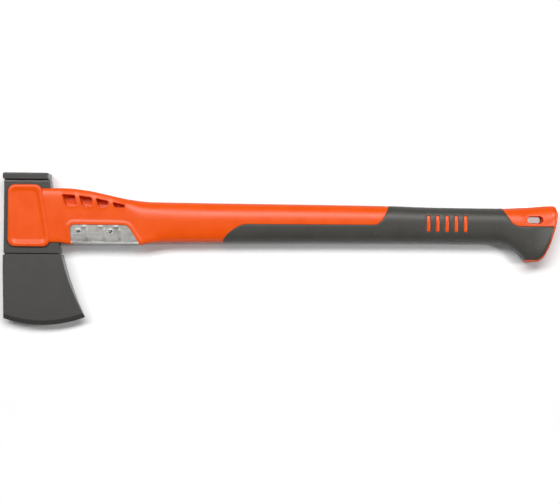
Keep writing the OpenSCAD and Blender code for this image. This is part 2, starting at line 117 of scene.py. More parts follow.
def smoothCurve(line, x):  # passes through the points with no overshoot
    px, py = line.T
    rate = np.diff(py) / np.diff(px)
    before, after = rate[:-1], rate[1:]
    same = before * after > 0
    tangent = np.empty_like(py)
    tangent[0], tangent[-1] = rate[0], rate[-1]
    tangent[1:-1] = np.where(same, 2 * before * after / np.where(same, before + after, 1), 0)
    i = np.clip(np.searchsorted(px, x) - 1, 0, len(px) - 2)
    w = px[i + 1] - px[i]
    t = (x - px[i]) / w
    return (py[i] * (1 + 2 * t) * (1 - t) ** 2 + tangent[i] * w * t * (1 - t) ** 2
            + py[i + 1] * t * t * (3 - 2 * t) - tangent[i + 1] * w * t * t * (1 - t))


def section(x):
    back, belly = smoothCurve(backLine, x), smoothCurve(bellyLine, x)
    return (back + belly) / 2, (back - belly) / 2, smoothCurve(halfLine, x)


def squareness(x, rise):  # of the upper half where rise is above 0, else of the lower half
    return np.where(rise > 0, smoothCurve(topLine, x), smoothCurve(footLine, x))


# turns round half a section, from the back over one cheek to the belly, close together at both ends
turnShare = np.linspace(0, 1, 161)
turns = math.pi * (turnShare - np.sin(2 * math.pi * turnShare) / (2 * math.pi))
knobLength = butt - handle["knobTip"]


def runOf(x):  # run along the handle, drawn out at the knob's round end
    t = np.clip((x - handle["knobTip"]) / knobLength, 0, 1)
    return np.where(x > handle["knobTip"], handle["knobTip"] + knobLength * np.arcsin(t), x)


def runAt(x):
    return float(runOf(np.array([x]))[0])


def alongX(run):
    t = np.clip((run - handle["knobTip"]) / knobLength, 0, math.pi / 2)
    return np.where(run > handle["knobTip"], handle["knobTip"] + knobLength * np.sin(t), run)


def ringPoint(x, turn):
    mid, rise, half = section(x)
    c, s = np.cos(turn), np.clip(np.sin(turn), 0, 1)
    square = squareness(x, c)
    reach = (np.abs(c) ** square + s ** square) ** (-1 / square)
    return mid + rise * reach * c, half * reach * s


def ringShares(x):  # share of the way round at each of the turns
    y, z = ringPoint(x[:, None], turns[None, :])
    way = np.cumsum(np.hypot(np.diff(y, axis=1), np.diff(z, axis=1)), axis=1)
    return np.hstack([np.zeros((len(x), 1)), way / way[:, -1:]])


def wrapOf(x, y):  # share of the way round at a height y, 0 on the back and 1 on the belly
    mid, rise, _ = section(x)
    c = np.clip((y - mid) / rise, -1, 1)
    square = squareness(x, c)
    turn = np.arctan2((1 - np.abs(c) ** square) ** (1 / square), c)
    shares = ringShares(x)
    i = np.clip(np.searchsorted(turns, turn) - 1, 0, len(turns) - 2)
    row = np.arange(len(x))
    t = (turn - turns[i]) / (turns[i + 1] - turns[i])
    return shares[row, i] * (1 - t) + shares[row, i + 1] * t


def skinPoints(places, lift=0):  # places are rows of run and wrap; lift is along the skin's normal
    x = alongX(places[:, 0])
    wrap = np.clip(places[:, 1], 0, 1)
    shares = ringShares(x)
    row = np.arange(len(x))
    i = np.clip((shares <= wrap[:, None]).sum(axis=1) - 1, 0, len(turns) - 2)
    gap = np.maximum(shares[row, i + 1] - shares[row, i], 1e-9)
    turn = turns[i] + (turns[i + 1] - turns[i]) * (wrap - shares[row, i]) / gap
    y, z = ringPoint(x, turn)
    z[(wrap <= 1e-7) | (wrap >= 1 - 1e-7)] = 0  # the seams lie in the mid-plane

    def level(at):
        mid, rise, half = section(at)
        square = squareness(at, y - mid)
        return np.abs((y - mid) / rise) ** square + np.abs(z / half) ** square

    mid, rise, half = section(x)
    c = (y - mid) / rise
    square = squareness(x, c)
    nudge = 0.05
    low, high = np.maximum(x - nudge, handle["neckStart"]), np.minimum(x + nudge, butt)
    slope = np.stack([(level(high) - level(low)) / (high - low),
                      square * np.sign(c) * np.abs(c) ** (square - 1) / rise,
                      square * np.abs(z / half) ** (square - 1) / half], axis=1)
    slope /= np.linalg.norm(slope, axis=1)[:, None]
    return np.stack([x, y, z], axis=1) + slope * np.asarray(lift).reshape(-1, 1)


# paths on the skin are drawn as seen from the cheek
def roundPath(points, radius, closed=False, parts=6):
    points = [np.array(p, float) for p in points]
    n = len(points)
    radii = np.broadcast_to(radius, n)  # one for all corners, or one for each
    out = []
    for i, p in enumerate(points):
        if not closed and i in (0, n - 1):
            out.append(p)
            continue
        a, b = points[i - 1] - p, points[(i + 1) % n] - p
        la, lb = np.linalg.norm(a), np.linalg.norm(b)
        r = min(radii[i], 0.45 * la, 0.45 * lb)
        for t in np.linspace(0, 1, parts + 1):
            out.append(p + a / la * r * (1 - t) ** 2 + b / lb * r * t ** 2)
    return np.array(out)


def closedPath(path):
    return np.vstack([path, path[:1]])


def spaced(path, step, closed=False):
    if closed:
        path = closedPath(path)
    way = np.concatenate([[0], np.cumsum(np.linalg.norm(np.diff(path, axis=0), axis=1))])
    n = max(2, int(round(way[-1] / step)))
    at = np.linspace(0, way[-1], n + 1)
    out = np.stack([np.interp(at, way, path[:, k]) for k in (0, 1)], axis=1)
    return out[:-1] if closed else out


# about half the way round the shaft and the neck, to give the wrap a length
skinScale, neckScale = np.array([1, 62]), np.array([1, 78])
edgeStep, loopStep = 0.9, 0.7  # between the points of long edges and of small loops


def onSkin(path, step=1.2, closed=False, runsOff=True):
    path = spaced(np.array(path, float), 0.2, closed)
    mid, rise, _ = section(path[:, 0])
    c = np.abs((path[:, 1] - mid) / rise)
    places = np.stack([runOf(path[:, 0]), wrapOf(path[:, 0], path[:, 1])], axis=1)
    if runsOff and not closed:  # an open path ends where it runs off the back or the belly
        keep = np.nonzero(c < 1)[0]
        first, last = keep[0], keep[-1]
        ends = []
        for i, j in ((first, first - 1), (last, last + 1)):
            t = (1 - c[i]) / max(c[j] - c[i], 1e-9)
            x = path[i, 0] + (path[j, 0] - path[i, 0]) * t
            ends.append([runAt(x), 0.0 if path[i, 1] > mid[i] else 1.0])
        places = np.vstack([[ends[0]], places[first:last + 1], [ends[1]]])
    return spaced(places * skinScale, step, closed) / skinScale


def seam(fromRun, toRun, wrap, step=2.6):
    n = max(2, int(abs(toRun - fromRun) / step))
    return np.stack([np.linspace(fromRun, toRun, n + 1), np.full(n + 1, float(wrap))], axis=1)


def endLine(x, fromWrap, toWrap, parts=36):
    return np.stack([np.full(parts + 1, runAt(x)), np.linspace(fromWrap, toWrap, parts + 1)], axis=1)


def distanceTo(points, path, closed=False):
    if closed:
        path = closedPath(path)
    best = np.full(len(points), 1e9)
    for a, b in zip(path[:-1], path[1:]):
        ab = b - a
        t = np.clip(((points - a) @ ab) / max(ab @ ab, 1e-12), 0, 1)
        best = np.minimum(best, ((points - a - t[:, None] * ab) ** 2).sum(axis=1))
    return np.sqrt(best)


def skinDistance(places, path, closed=False, scale=skinScale):
    return distanceTo(places * scale, path * scale, closed)


def within(points, loop):
    inside = np.zeros(len(points), bool)
    x, y = points.T
    for a, b in zip(loop, np.roll(loop, -1, axis=0)):
        if a[1] != b[1]:
            crosses = (a[1] > y) != (b[1] > y)
            inside ^= crosses & (x < (b[0] - a[0]) * (y - a[1]) / (b[1] - a[1]) + a[0])
    return inside


def loopArea(loop):
    x, y = loop.T
    return 0.5 * np.sum(x * np.roll(y, -1) - y * np.roll(x, -1))


def leftOf(tangent):
    tangent = tangent / np.maximum(np.linalg.norm(tangent, axis=1)[:, None], 1e-9)
    return np.stack([-tangent[:, 1], tangent[:, 0]], axis=1)


def shifted(path, side, distance, closed=False):
    if closed:
        tangent = np.roll(path, -1, axis=0) - np.roll(path, 1, axis=0)
    else:
        tangent = np.gradient(path, axis=0)
    out = path + side * distance * leftOf(tangent)
    if not closed:  # stays on the seam where the path ends on it
        out[0, 1], out[-1, 1] = path[0, 1], path[-1, 1]
    keep = distanceTo(out, path, closed) > 0.96 * distance
    if not closed:
        keep[0] = keep[-1] = True
    return out[keep]


def plain(paths):
    return [(path, ()) for path in paths]


# fills a field of the skin: parts are the paths round it with the bands beside each, holes likewise
def fillSkin(parts, holes=(), lines=(), grid=(2.8, 1.9), scale=skinScale):
    parts, holes = ([(np.float32(path * scale).astype(float), bands) for path, bands in group]
                    for group in (parts, holes))
    outer = np.vstack([path[:-1] for path, _ in parts])
    side = 1 if loopArea(outer) > 0 else -1
    points, edges = [], []

    def addPath(path, closed=False):
        base = len(points)
        points.extend(path)
        edges.extend((base + i, base + i + 1) for i in range(len(path) - 1))
        if closed:
            edges.append((len(points) - 1, base))

    def inField(spots):
        inside = within(spots, outer)
        for path, _ in holes:
            inside &= ~within(spots, path)
        return inside

    for path, bands in parts:
        addPath(path)
        for band in bands:
            addPath(shifted(path, side, band))
    for path, bands in holes:
        addPath(path, True)
        turn = -1 if loopArea(path) > 0 else 1
        for band in bands:
            addPath(shifted(path, turn, band, True), True)
    for line in lines:
        addPath(line * scale)
    fixed = np.array(points)
    low, high = outer.min(axis=0), outer.max(axis=0)
    rows = np.arange(low[1] + grid[1] / 2, high[1], grid[1])
    spots = np.array([(x + (k % 2) * grid[0] / 2, y) for k, y in enumerate(rows)
                      for x in np.arange(low[0] + grid[0] / 3, high[0], grid[0])])
    spots = spots[inField(spots)]
    clear = np.ones(len(spots), bool)
    apart = 0.62 * min(grid)  # loose points keep this far from the paths
    for block in np.array_split(np.arange(len(spots)), max(1, len(spots) // 400)):
        gap = ((spots[block][:, None, :] - fixed[None]) ** 2).sum(axis=2).min(axis=1)
        clear[block] = gap > apart ** 2
    everything = [Vector((float(x), float(y))) for x, y in np.vstack([fixed, spots[clear]])]
    found, _, faces, _, _, _ = geometry.delaunay_2d_cdt(everything, edges, [], 0, 1e-4)
    found, faces = np.array([tuple(v) for v in found]), np.array(faces)
    return found / scale, faces[inField(found[faces].mean(axis=1))]


def rollDrop(distance, radius):  # a rounded edge falls away by this much
    d = np.clip(radius - distance, 0, radius)
    return radius - np.sqrt(np.maximum(radius * radius - d * d, 0))


def ramp(value, start, length):
    return np.clip((value - start) / length, 0, 1)


def cleaned(bm, weld):  # welds points that meet and takes out faces with no area
    bmesh.ops.remove_doubles(bm, verts=bm.verts, dist=weld * mm)
    bmesh.ops.dissolve_degenerate(bm, edges=bm.edges, dist=0.003 * mm)
    return bm


class Shell:
    def __init__(self):
        self.points, self.faces, self.count = [], [], 0

    def add(self, points, faces):
        self.points.append(np.asarray(points, float))
        self.faces.extend([tuple(int(i) + self.count for i in face) for face in faces])
        self.count += len(points)

    def skin(self, places, faces, lift):
        self.add(skinPoints(places, lift), faces)

    def strip(self, rings, closed=False):  # rings of equal length, joined by quads
        n = len(rings[0])
        faces = []
        for r in range(len(rings) - 1):
            for i in range(n if closed else n - 1):
                j = (i + 1) % n
                faces.append((r * n + i, r * n + j, (r + 1) * n + j, (r + 1) * n + i))
        self.add(np.vstack(rings), faces)

    def wall(self, path, top, foot, closed=False):
        self.strip([skinPoints(path, top), skinPoints(path, foot)], closed)

    def mesh(self, mirror=True, fill=True):
        bm = bmesh.new()
        points = np.vstack(self.points)
        for flip in ((1, -1) if mirror else (1,)):
            verts = [bm.verts.new(Vector((p[0], p[1], p[2] * flip)) * mm) for p in points]
            for face in self.faces:
                corners = [verts[i] for i in face]
                if len(set(corners)) == len(corners):
                    bm.faces.new(corners[::flip])
        cleaned(bm, 0.004)
        loose = [v for v in bm.verts if not v.link_faces]
        bmesh.ops.delete(bm, geom=loose, context="VERTS")
        if fill:
            holes = bmesh.ops.holes_fill(bm, edges=[e for e in bm.edges if e.is_boundary], sides=0)
            bmesh.ops.triangulate(bm, faces=holes["faces"])
        bmesh.ops.recalc_face_normals(bm, faces=bm.faces)
        return bm


def linked(name, data):
    thing = bpy.data.objects.new(name, data)
    scene.collection.objects.link(thing)
    return thing


def meshObject(bm, name):
    data = bpy.data.meshes.new(name)
    bm.to_mesh(data)
    bm.free()
    return linked(name, data)


def finishMesh(bm, name, sharpAngle=38):
    bmesh.ops.translate(bm, verts=bm.verts, vec=(0, axisY * mm, midZ * mm))
    for face in bm.faces:
        face.smooth = True
    limit = math.radians(sharpAngle)
    for edge in bm.edges:
        edge.smooth = not (len(edge.link_faces) == 2 and edge.calc_face_angle(0) > limit)
    ragged = sum(1 for e in bm.edges if not e.is_manifold)
    print("mesh", name, len(bm.faces), "faces,", ragged, "ragged edges")
    return meshObject(bm, name)


def joined(base, others, operation):  # exact boolean of meshes that are drawn about the handle's axis
    body = meshObject(base, "base")
    tools = [meshObject(bm, "tool") for bm in others]
    for tool in tools:
        step = body.modifiers.new("join", "BOOLEAN")
        step.operation, step.solver, step.object = operation, "EXACT", tool
    out = bmesh.new()
    out.from_mesh(body.evaluated_get(bpy.context.evaluated_depsgraph_get()).to_mesh())
    for thing in [body] + tools:
        data = thing.data
        bpy.data.objects.remove(thing)
        bpy.data.meshes.remove(data)
    return cleaned(out, 0.003)


# grip, bars and the orange fields beside them
grip = {
    "length": 362.3, "frontLength": 26, "nosePower": 1.28, "line": 0.9, "lineRear": 0.3, "riseLength": 16.5,
    "wall": 2.2, "proud": 0.25, "roll": 0.7, "coreRoll": 0.4, "seamGap": 0.12,
    "bars": 5, "barStart": 139.7, "barPitch": 10, "barWidth": 3.8, "barLength": 18, "barRise": 1.7,
    "barRound": 1.4, "barSink": 0.5, "barRoll": 0.45,
}
cap = {
    "fieldLength": 59.4, "fieldSlant": 11.8, "fieldLine": 0.3, "bend": 7, "roll": 0.5, "splitGap": 0.1,
    "stripWidth": 2.4, "lineDepth": 0.7, "lineWidth": 0.35,
    "slotLength": 17.4, "slotWidth": 7.9, "slotFromButt": 24.3, "slotRise": 6.8, "slotRoll": 0.5,
    "slotDraft": 0.8, "slotRings": (1, 0.66, 0.33, 0),
}


def bend(a, b, c, n=16):
    t = np.linspace(0, 1, n + 1)[:, None]
    return np.array(a) * (1 - t) ** 2 + 2 * np.array(b) * t * (1 - t) + np.array(c) * t ** 2


def gripFrontPath(g):
    x0 = butt - g["length"] + g["frontLength"]
    x1, y1 = handle["wrapX"], -g["lineRear"]
    low = -handle["shaftHeight"] / 2
    a = np.radians(np.arange(0, 91, 2.5))
    c, d = (np.abs(v) ** g["nosePower"] for v in (np.cos(a), np.sin(a)))
    nose = np.stack([x0 - g["frontLength"] * c, low - (g["line"] + low) * d], axis=1)
    rise = bend([x1, y1], [x1 + 0.6 * g["riseLength"], y1 + 0.4],
                [x1 + g["riseLength"], handle["shaftHeight"] / 2])
    # both ends run off the handle
    return np.vstack([[[nose[0, 0], low - 6]], nose, rise, rise[-1:] + [[1.2, 8]]])


def stripPath(c):  # line inside the knob's round end, from the heel down to the tip
    a = np.radians(np.arange(0, 90.1, 2))
    x = handle["knobTip"] + knobLength * np.sin(a)
    rim = np.stack([x, smoothCurve(bellyLine, x)], axis=1)
    rim = spaced(np.vstack([rim, backLine[:-5:-1]]), 1.0)
    inner = rim + c["stripWidth"] * leftOf(np.gradient(rim, axis=0))
    return inner[::-1]


def fieldPath(c):  # front and foot of the cap's field, then the strip round the butt
    top = np.array([butt - c["fieldLength"], handle["gripHeight"] / 2])
    foot = np.array([butt - c["fieldLength"] + c["fieldSlant"], -c["fieldLine"]])
    way = (top - foot) / np.linalg.norm(top - foot)
    turn = bend(foot + way * c["bend"], foot, foot + [c["bend"] + 1, 0], 8)
    strip = stripPath(c)
    below = strip[strip[:, 1] < -c["fieldLine"]]
    corner = np.array([[below[0, 0], -c["fieldLine"]]])
    tip = np.array([handle["knobTip"], below[-1, 1]]) - [[1.5, 0.3], [5, 1.5]]
    return np.vstack([[top + way * 7], turn, corner, below, tip])


def stadium(centre, length, width, n=14):
    r = width / 2
    a = np.linspace(-math.pi / 2, math.pi / 2, n)
    right = np.stack([centre[0] + length / 2 - r + r * np.cos(a), centre[1] + r * np.sin(a)], axis=1)
    left = np.stack([centre[0] - length / 2 + r - r * np.cos(a), centre[1] - r * np.sin(a)], axis=1)
    return np.vstack([right, left])


gripFront = onSkin(gripFrontPath(grip))
capFront = onSkin(fieldPath(cap), edgeStep)
barLoops = []
for k in range(grip["bars"]):
    x, y = butt - grip["barStart"] + grip["barPitch"] * k, grip["barRise"]
    w, l = grip["barWidth"] / 2, grip["barLength"] / 2
    corners = [(x - w, y - l), (x + w, y - l), (x + w, y + l), (x - w, y + l)]
    barLoops.append(onSkin(roundPath(corners, grip["barRound"], True), loopStep, True))
slotSpot = np.array([butt - cap["slotFromButt"], cap["slotRise"]])
slotLoop = onSkin(stadium(slotSpot, cap["slotLength"], cap["slotWidth"]), loopStep, True)

# guard, and the lip of the neck round it
guard = {
    "start": handle["guardStart"], "length": 62.3, "top": 3.2, "round": 5, "foot": 2.6,
    "thick": 1.2, "sink": 0.5, "roll": 0.35, "gap": 0.95, "seatGap": 0.05, "holeRadius": 1.8,
    # the lip dies out towards the belly; its fade is a place on the wrap and a length
    "lipHeight": 0.62, "lipTop": 2.7, "lipWidth": 5.5, "lipRoll": 0.25, "lipFade": (0.97, -0.14),
    # the sheet folds in below foldY, by this share of its width for each mm
    "foldY": -22.2, "foldRate": 0.16, "foldLeast": 0.35, "foldEnds": (3.6, 4.6),
    "foldRoom": 4.4, "roomFade": (0.77, 0.06),
    # places along the guard, and down it
    "ribs": (18.4, 37.0, 53.6), "ribHeight": 0.5, "ribWidth": 0.8, "ribFades": ((3, 3), (17, -4)),
    "tabs": (15.5, 33.0, 49.9), "tabHeight": 0.42, "tabSize": (2.6, 1.5), "tabDrop": 2.3,
}


def guardPath(g):
    drop = handle["guardDrop"]
    return roundPath([(g["start"] + g["foot"], -drop - 20), (g["start"], -g["top"]),
                      (g["start"] + g["length"], -g["top"]), (handle["guardEnd"], -drop - 1),
                      (handle["guardEnd"] + 0.5, -drop - 20)], g["round"])


guardEdge = onSkin(guardPath(guard), edgeStep)
rivetNodes = ("guard_rivet_front", "guard_rivet_rear")
rivetSpots = []
for name in rivetNodes:
    low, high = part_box(name)
    rivetSpots.append(((low[0] + high[0]) / 2 / mm, (low[1] + high[1]) / 2 / mm - axisY))

# pockets of the neck
pocket = {
    "count": 4, "start": front + 64.2, "pitch": 18.25, "width": 13.8, "margin": 6.8, "foot": 16.6,
    "footFall": 0.4, "lean": 0.29, "rearLean": 2.6, "rearTurn": 1.4, "round": (1.4, 1.4, 3.8, 3.4),
    "roll": 0.45, "rimHeight": 0.3, "rimOut": 0.7, "rimWidth": 0.9, "rimReach": 4, "depth": 10, "draft": 0.35,
    # rings down the wall: share of the draft, further inset, height above the floor
    "rings": ((0.8, 0, 0.9), (1, 0.15, 0.25), (1, 0.5, 0)),
}


def pocketPath(i, p):
    x0 = p["start"] + p["pitch"] * i
    x1 = x0 + p["width"]
    foot = p["foot"] - p["footFall"] * i
    y0, y1 = smoothCurve(backLine, np.array([x0, x1])) - p["margin"]
    return roundPath([(x0, y0), (x1, y1), (x1 + p["rearLean"] - p["rearTurn"] * i, foot),
                      (x0 + p["lean"] * (y0 - foot), foot)], p["round"], True)


pocketLoops = [onSkin(pocketPath(i, pocket), loopStep, True) for i in range(pocket["count"])]
print("paths drawn on the handle")


def lipRise(places):
    return guard["lipHeight"] * ramp(places[:, 1], *guard["lipFade"])


def seatFloor(places):  # under the guard, with room for its fold near the belly
    room = guard["foldRoom"] * ramp(places[:, 1], *guard["roomFade"])
    return -guard["thick"] - guard["sink"] - guard["seatGap"] - room


def buildCore():
    shell = Shell()
    start, split = runAt(handle["neckStart"]), runAt(handle["splitX"])
    seatDrop = -grip["wall"]
    coreRoll, lipTop, lipWidth = grip["coreRoll"], guard["lipTop"], guard["lipWidth"]
    rimBands = (0.15, 0.45, 0.9, 1.5, 2.2)
    lipBands = (guard["lipRoll"], 1.2, lipTop, 3.0, 3.9, 4.8, lipWidth)
    parts = [
        (endLine(handle["neckStart"], 1, 0), ()),
        (seam(start, gripFront[-1, 0], 0), ()),
        (gripFront[::-1], (0.15, coreRoll)),
        (seam(gripFront[0, 0], guardEdge[-1, 0], 1), ()),
        (guardEdge[::-1], lipBands),
        (seam(guardEdge[0, 0], start, 1), ()),
    ]
    pockets = [(loop, rimBands) for loop in pocketLoops]
    places, faces = fillSkin(parts, pockets, grid=(2.6, 1.7), scale=neckScale)
    lift = -rollDrop(skinDistance(places, gripFront, scale=neckScale), coreRoll)
    nearGuard = skinDistance(places, guardEdge, scale=neckScale)
    fall = ramp(nearGuard, lipWidth, lipTop - lipWidth)
    lift += lipRise(places) * fall * fall * (3 - 2 * fall) - rollDrop(nearGuard, guard["lipRoll"])
    for loop in pocketLoops:
        d = skinDistance(places, loop, True, neckScale)
        swell = np.exp(-((d - pocket["rimOut"]) / pocket["rimWidth"]) ** 2)
        lift += pocket["rimHeight"] * swell * (d < pocket["rimReach"])
        lift -= rollDrop(d, pocket["roll"])
    shell.skin(places, faces, lift)
    # steps down to the seats of the grip and the guard
    shell.wall(gripFront, -coreRoll, seatDrop)
    seat = plain([gripFront, seam(gripFront[-1, 0], split, 0), endLine(handle["splitX"], 0, 1),
                  seam(split, gripFront[0, 0], 1)])
    shell.skin(*fillSkin(seat, plain(barLoops), grid=(5, 3)), seatDrop)
    shell.wall(guardEdge, lipRise(guardEdge) - guard["lipRoll"], seatFloor(guardEdge))
    seat = plain([guardEdge, seam(guardEdge[-1, 0], guardEdge[0, 0], 1)])
    places, faces = fillSkin(seat, grid=(4, 2.5))
    shell.skin(places, faces, seatFloor(places))
    # bars stand up through the grip
    barRoll, barTop = grip["barRoll"], -grip["barSink"]
    for loop in barLoops:
        places, faces = fillSkin([(closedPath(loop), (0.12, barRoll))], grid=(1.2, 1.4))
        shell.skin(places, faces, barTop - rollDrop(skinDistance(places, loop, True), barRoll))
        shell.wall(loop, barTop - barRoll, seatDrop, True)
    # pockets
    rimTop = pocket["rimHeight"] * math.exp(-(pocket["rimOut"] / pocket["rimWidth"]) ** 2) - pocket["roll"]
    for loop in pocketLoops:
        flat = loop * neckScale
        middle, reach = flat.mean(axis=0), np.ptp(flat, axis=0)
        rings = [skinPoints(loop, rimTop)]
        for share, further, rise in pocket["rings"]:
            inset = share * pocket["draft"] + further
            ring = (middle + (flat - middle) * (1 - 2 * inset / reach)) / neckScale
            rings.append(skinPoints(ring, rise - pocket["depth"]))
        shell.strip(rings, True)
        bottom = fillSkin(plain([closedPath(ring)]), grid=(2, 1.6), scale=neckScale)
        shell.skin(*bottom, -pocket["depth"])
    return shell.mesh()


def buildGrip():
    shell = Shell()
    proud, roll = grip["proud"], grip["roll"]
    bands = (0.12, 0.35, roll)
    parts = [
        (gripFront, bands), (seam(gripFront[-1, 0], capFront[0, 0], 0), ()),
        (capFront, bands), (seam(capFront[-1, 0], gripFront[0, 0], 1), ())]
    places, faces = fillSkin(parts, [(loop, bands) for loop in barLoops])
    edges = [(gripFront, False), (capFront, False)] + [(loop, True) for loop in barLoops]
    near = np.min([skinDistance(places, path, closed) for path, closed in edges], axis=0)
    shell.skin(places, faces, proud - rollDrop(near, roll))
    inner = grip["seamGap"] - grip["wall"]
    for path, closed in edges:
        shell.wall(path, proud - roll, inner, closed)
    shell.skin(*fillSkin(plain(path for path, _ in parts), plain(barLoops), grid=(4, 3)), inner)
    return shell.mesh()


def buildCap():
    shell = Shell()
    splitX, roll, slotRoll = handle["splitX"] + cap["splitGap"], cap["roll"], cap["slotRoll"]
    split, end = runAt(splitX), runAt(butt)
    # the line round the butt, with rows of points beside it
    rim = stripPath(cap)
    line = onSkin(rim[rim[:, 1] > -cap["fieldLine"]], 0.8, runsOff=False)
    line = line[skinDistance(line, capFront) > 0.8]
    beside = [shifted(line * skinScale, s, w) / skinScale for s in (1, -1) for w in (0.3, 0.7)]
    beside = [row[(row[:, 1] > 0) & (skinDistance(row, capFront) > 0.6)] for row in beside]
    parts = [
        (capFront, (0.12, 0.3, roll)), (seam(capFront[-1, 0], end, 1, 1.6), ()),
        (endLine(butt, 1, 0, 16), ()), (seam(end, capFront[0, 0], 0, 1.6), ())]
    places, faces = fillSkin(parts, [(slotLoop, (0.2, 0.5, slotRoll))], [line] + beside, (1.5, 1.4))
    lift = -rollDrop(skinDistance(places, capFront), roll)
    lift -= rollDrop(skinDistance(places, slotLoop, True), slotRoll)
    lift -= cap["lineDepth"] * np.exp(-(skinDistance(places, line) / cap["lineWidth"]) ** 2)
    shell.skin(places, faces, lift)
    shell.wall(capFront, -roll, -grip["wall"])
    seat = plain([endLine(splitX, 1, 0), seam(split, capFront[0, 0], 0), capFront,
                  seam(capFront[-1, 0], split, 1)])
    shell.skin(*fillSkin(seat, grid=(3.5, 2.5)), -grip["wall"])
    # the slot's walls draw in towards the mid-plane
    rim = skinPoints(slotLoop, -slotRoll)
    draft = cap["slotDraft"] / (cap["slotWidth"] / 2)
    walls = []
    for k in cap["slotRings"]:
        narrow = draft * (1 - k)
        size = np.array([1 - narrow * cap["slotWidth"] / cap["slotLength"], 1 - narrow])
        walls.append(np.column_stack([slotSpot + (rim[:, :2] - slotSpot) * size, rim[:, 2] * k]))
    shell.strip(walls, True)
    return shell.mesh()


def circle(centre, radius, n):
    a = np.linspace(0, 2 * math.pi, n, endpoint=False)
    return np.stack([centre[0] + radius * np.cos(a), centre[1] + radius * np.sin(a)], axis=1)


def buildGuard():
    shell = Shell()
    outer = -guard["sink"]
    inner = outer - guard["thick"]
    # the sheet stops a little short of its seat
    edge = shifted(guardEdge * neckScale, -1, guard["gap"]) / neckScale
    outline = [(edge, (0.12, 0.35)), (seam(edge[-1, 0], edge[0, 0], 1, 1.2), ())]
    holes = [onSkin(circle(spot, guard["holeRadius"], 40), 0.6, True) for spot in rivetSpots]
    foldStart, foldEnd = guard["foldEnds"]
    foldX = np.arange(guard["start"] + foldStart, handle["guardEnd"] - foldEnd, 0.8)
    folds = [np.stack([runOf(foldX), wrapOf(foldX, np.full(len(foldX), guard["foldY"] - s))], axis=1)
             for s in (0, 0.3)]
    places, faces = fillSkin(outline, plain(holes), folds, (1.0, 1.0), neckScale)
    lift = outer - rollDrop(skinDistance(places, edge, scale=neckScale), guard["roll"])
    spot = skinPoints(places)
    x, y = spot[:, 0] - guard["start"], -guard["top"] - spot[:, 1]
    rise, sink = (ramp(y, *fade) for fade in guard["ribFades"])
    for rib in guard["ribs"]:
        lift += guard["ribHeight"] * np.exp(-((x - rib) / guard["ribWidth"]) ** 2) * (rise * sink)
    for tab in guard["tabs"]:
        across, down = (x - tab) / guard["tabSize"][0], (y - guard["tabDrop"]) / guard["tabSize"][1]
        lift += guard["tabHeight"] * np.exp(-across ** 4 - down ** 2)
    shell.skin(places, faces, lift)
    shell.wall(edge, outer - guard["roll"], inner)
    for hole in holes:
        shell.wall(hole, outer, inner, True)
    under = plain(path for path, _ in outline)
    shell.skin(*fillSkin(under, plain(holes), grid=(3, 2), scale=neckScale), inner)
    for points in shell.points:  # the sheet folds in above the belly
        below = np.clip(guard["foldY"] - points[:, 1], 0, None)
        points[:, 2] *= np.maximum(1 - guard["foldRate"] * below, guard["foldLeast"])
    return shell.mesh()


# orange panels on the cheeks of the head, and the tongue through its eye
panel = {
    "left": front + 5.9, "top": 39.6, "height": 67.1, "width": 35.7, "slant": 11.4,
    "round": 8, "roundLoss": 0.6, "parts": 10,
    # inset and height of each ring
    "rings": ((0, 9.1), (0, 11.3), (0.12, 12.0), (0.45, 12.5), (1.1, 12.85), (2.0, 13), (3.0, 13),
              (3.5, 12.93), (4.1, 12.72), (6.7, 11.68), (7.2, 11.56), (7.9, 11.54)),
}
eye = {
    "rise": 7, "height": 46, "thick": 11, "length": 61, "gap": 0.1,
    "step": 1.5, "stepStart": 1, "stepLength": 7,
    # start and softness of the front end
    "tongue": (1.1, 0.5), "hole": (-1, 0.01),
}


def panelRing(inset, z):
    p = panel
    low = p["top"] - p["height"]
    corners = np.array([(p["left"], low), (p["left"] + p["width"] + p["slant"], low),
                        (p["left"] + p["width"], p["top"]), (p["left"], p["top"])])
    radius = p["round"] - p["roundLoss"] * inset
    depth = inset + radius
    n = len(corners)
    normals, centres, ring = [], [], []
    for i in range(n):
        way = corners[(i + 1) % n] - corners[i]
        way /= np.linalg.norm(way)
        normals.append(np.array([way[1], -way[0]]))
    for i in range(n):  # centres of the corner arcs, set in from both sides
        m = np.array([normals[i - 1], normals[i]])
        centres.append(np.linalg.solve(m, m @ corners[i] - depth))
    for i in range(n):
        a0, a1 = (math.atan2(normals[k][1], normals[k][0]) for k in (i - 1, i))
        a1 += 2 * math.pi if a1 < a0 else 0
        arc = [centres[i] + radius * np.array([math.cos(a), math.sin(a)])
               for a in np.linspace(a0, a1, p["parts"])]
        ring.extend(arc)
        nextStart = centres[(i + 1) % n] + radius * normals[i]
        ring.extend(arc[-1] + (nextStart - arc[-1]) * t for t in np.linspace(0, 1, p["parts"] + 1)[1:-1])
    return np.array([(x, y, z) for x, y in ring])


def buildPanel(side):
    shell = Shell()
    shell.strip([panelRing(*ring) * [1, 1, side] for ring in panel["rings"]], True)
    return shell.mesh(mirror=False)


def barRing(x, height, thick, n=12):
    r = thick / 2
    a = np.linspace(0, math.pi, n)
    top = [(x, eye["rise"] + height / 2 - r + r * math.sin(t), r * math.cos(t)) for t in a]
    low = [(x, eye["rise"] - height / 2 + r - r * math.sin(t), -r * math.cos(t)) for t in a]
    return np.array(top + low)


def eyeBar(gap, start, soft):
    h, t, s = eye["height"] - 2 * gap, eye["thick"] - 2 * gap, 2 * eye["step"]
    first, stepEnd = front + start, front + eye["stepStart"] + eye["stepLength"] - gap
    shell = Shell()
    shell.strip([barRing(first, h + s - 2 * soft, t + s - 2 * soft), barRing(first + soft, h + s, t + s),
                 barRing(stepEnd, h + s, t + s), barRing(stepEnd, h, t),
                 barRing(front + eye["length"] + 2 * (eye["gap"] - gap), h, t)], True)
    return shell.mesh(mirror=False)


